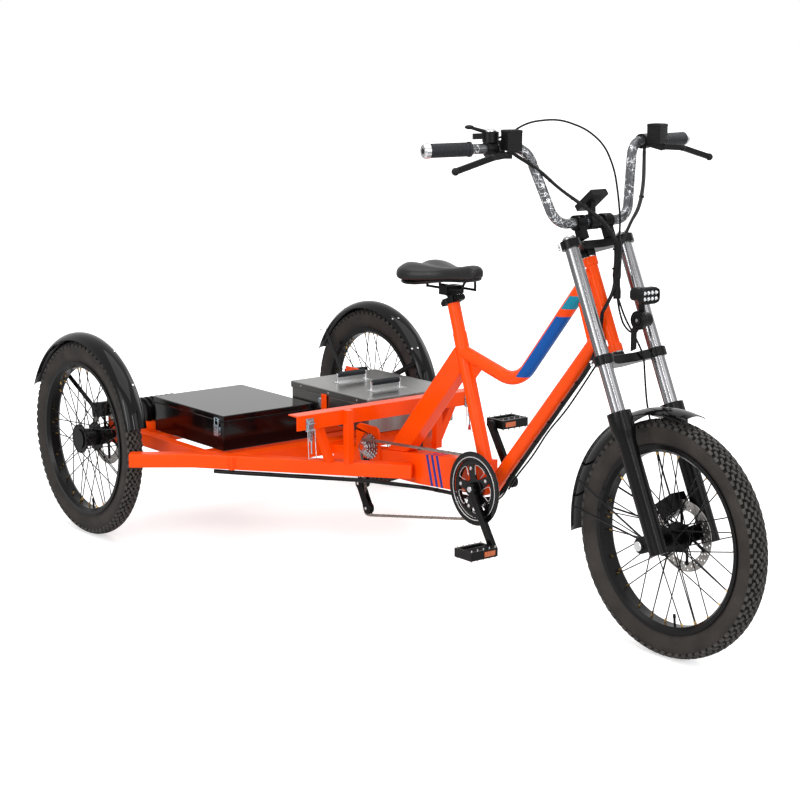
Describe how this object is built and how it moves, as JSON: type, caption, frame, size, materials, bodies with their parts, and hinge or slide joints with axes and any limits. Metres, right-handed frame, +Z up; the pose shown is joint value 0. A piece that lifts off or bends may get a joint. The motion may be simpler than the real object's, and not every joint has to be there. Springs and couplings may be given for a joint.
{
  "type": "electric cargo tricycle",
  "caption": "Pedal-assisted electric cargo tricycle with a spoked front wheel in a double-crown fork and a low tubular load frame between the rear wheels.",
  "frame": {"origin": "on the floor, midway between the front and rear axles, on the centre plane", "axes": "+X forward, +Y to the rider's left, +Z up"},
  "size_m": [2.4898, 1.1944, 1.2963],
  "materials": {
    "frame_paint": "glossy orange powder coat",
    "black_paint": "satin black paint",
    "black_plastic": "moulded black plastic",
    "guard_plastic": "glossy black mudguard plastic",
    "tyre_rubber": "black rubber",
    "rim_black": "black anodised rim and spokes",
    "steel": "bare machined steel",
    "stanchion": "grey hard-chromed tube",
    "bar_metal": "bright alloy under clear film",
    "box_black": "satin black powder coat",
    "box_steel": "brushed sheet steel",
    "grip_rubber": "soft black rubber with bright end collars",
    "saddle_cover": "black padded saddle cover"
  },
  "bodies": {
    "frame": {"head_tube": "frame_paint", "top_tube": "frame_paint", "down_tube": "frame_paint", "seat_tube": "frame_paint", "stay_beam": "frame_paint", "bottom_bracket_shell": "frame_paint", "central_beam": "frame_paint", "v_rails": "frame_paint", "deck_side_tubes": "frame_paint", "deck_cross_tubes": "frame_paint", "upper_cross_rail": "frame_paint", "rail_posts": "frame_paint", "rear_axle_beam": "frame_paint", "axle_plates": "frame_paint", "drive_motor": "black_paint", "jackshaft": "frame_paint", "cassette": "steel", "derailleur": "black_paint", "chain": "steel", "battery_box": "box_black", "battery_lid": "box_black", "controller_box": "box_steel", "controller_lid": "box_steel", "lid_handles": "steel", "rear_fender_right": "guard_plastic", "rear_fender_left": "guard_plastic", "rear_calipers": "black_paint", "seat_post": "black_paint", "saddle": "saddle_cover", "toggle_latches": "steel", "frame_cables": "black_plastic", "frame_gussets": "frame_paint"},
    "steering": {"lower_crown": "black_paint", "upper_crown": "black_paint", "stanchions": "stanchion", "fork_lowers": "black_paint", "front_axle": "steel", "handlebar": "bar_metal", "grips": "grip_rubber", "brake_levers": "black_plastic", "thumb_shifter": "black_plastic", "display": "black_plastic", "headlight": "black_plastic", "horn": "black_plastic", "front_fender": "guard_plastic", "front_caliper": "black_paint", "bar_cables": "black_plastic"},
    "front_wheel": {"front_tyre": "tyre_rubber", "front_rim": "rim_black", "front_hub": "black_paint"},
    "rear_wheel_right": {"rear_right_tyre": "tyre_rubber", "rear_right_rim": "rim_black", "rear_right_hub": "black_paint"},
    "rear_wheel_left": {"rear_left_tyre": "tyre_rubber", "rear_left_rim": "rim_black", "rear_left_hub": "black_paint"},
    "crank": {"chainring": "black_paint", "cranks": "black_paint"},
    "pedal_right": {"pedal_right": "black_plastic"},
    "pedal_left": {"pedal_left": "black_plastic"}
  },
  "joints": [
    {"name": "steering_turn", "type": "hinge", "parent": "frame", "child": "steering", "pos_m": [0.7, 0, 0.839], "axis": [-0.4147, 0, 0.91], "range_deg": [-45, 45]},
    {"name": "front_wheel_roll", "type": "hinge", "parent": "steering", "child": "front_wheel", "pos_m": [0.95, 0, 0.295], "axis": [0, 1, 0], "continuous": true},
    {"name": "rear_right_roll", "type": "hinge", "parent": "frame", "child": "rear_wheel_right", "pos_m": [-0.95, -0.545, 0.295], "axis": [0, 1, 0], "continuous": true},
    {"name": "rear_left_roll", "type": "hinge", "parent": "frame", "child": "rear_wheel_left", "pos_m": [-0.95, 0.545, 0.295], "axis": [0, 1, 0], "continuous": true},
    {"name": "crank_turn", "type": "hinge", "parent": "frame", "child": "crank", "pos_m": [0.282, 0, 0.3], "axis": [0, 1, 0], "continuous": true},
    {"name": "pedal_right_turn", "type": "hinge", "parent": "crank", "child": "pedal_right", "pos_m": [0.37284, -0.12, 0.15631], "axis": [0, 1, 0], "continuous": true},
    {"name": "pedal_left_turn", "type": "hinge", "parent": "crank", "child": "pedal_left", "pos_m": [0.19116, 0.13, 0.44369], "axis": [0, 1, 0], "continuous": true}
  ]
}
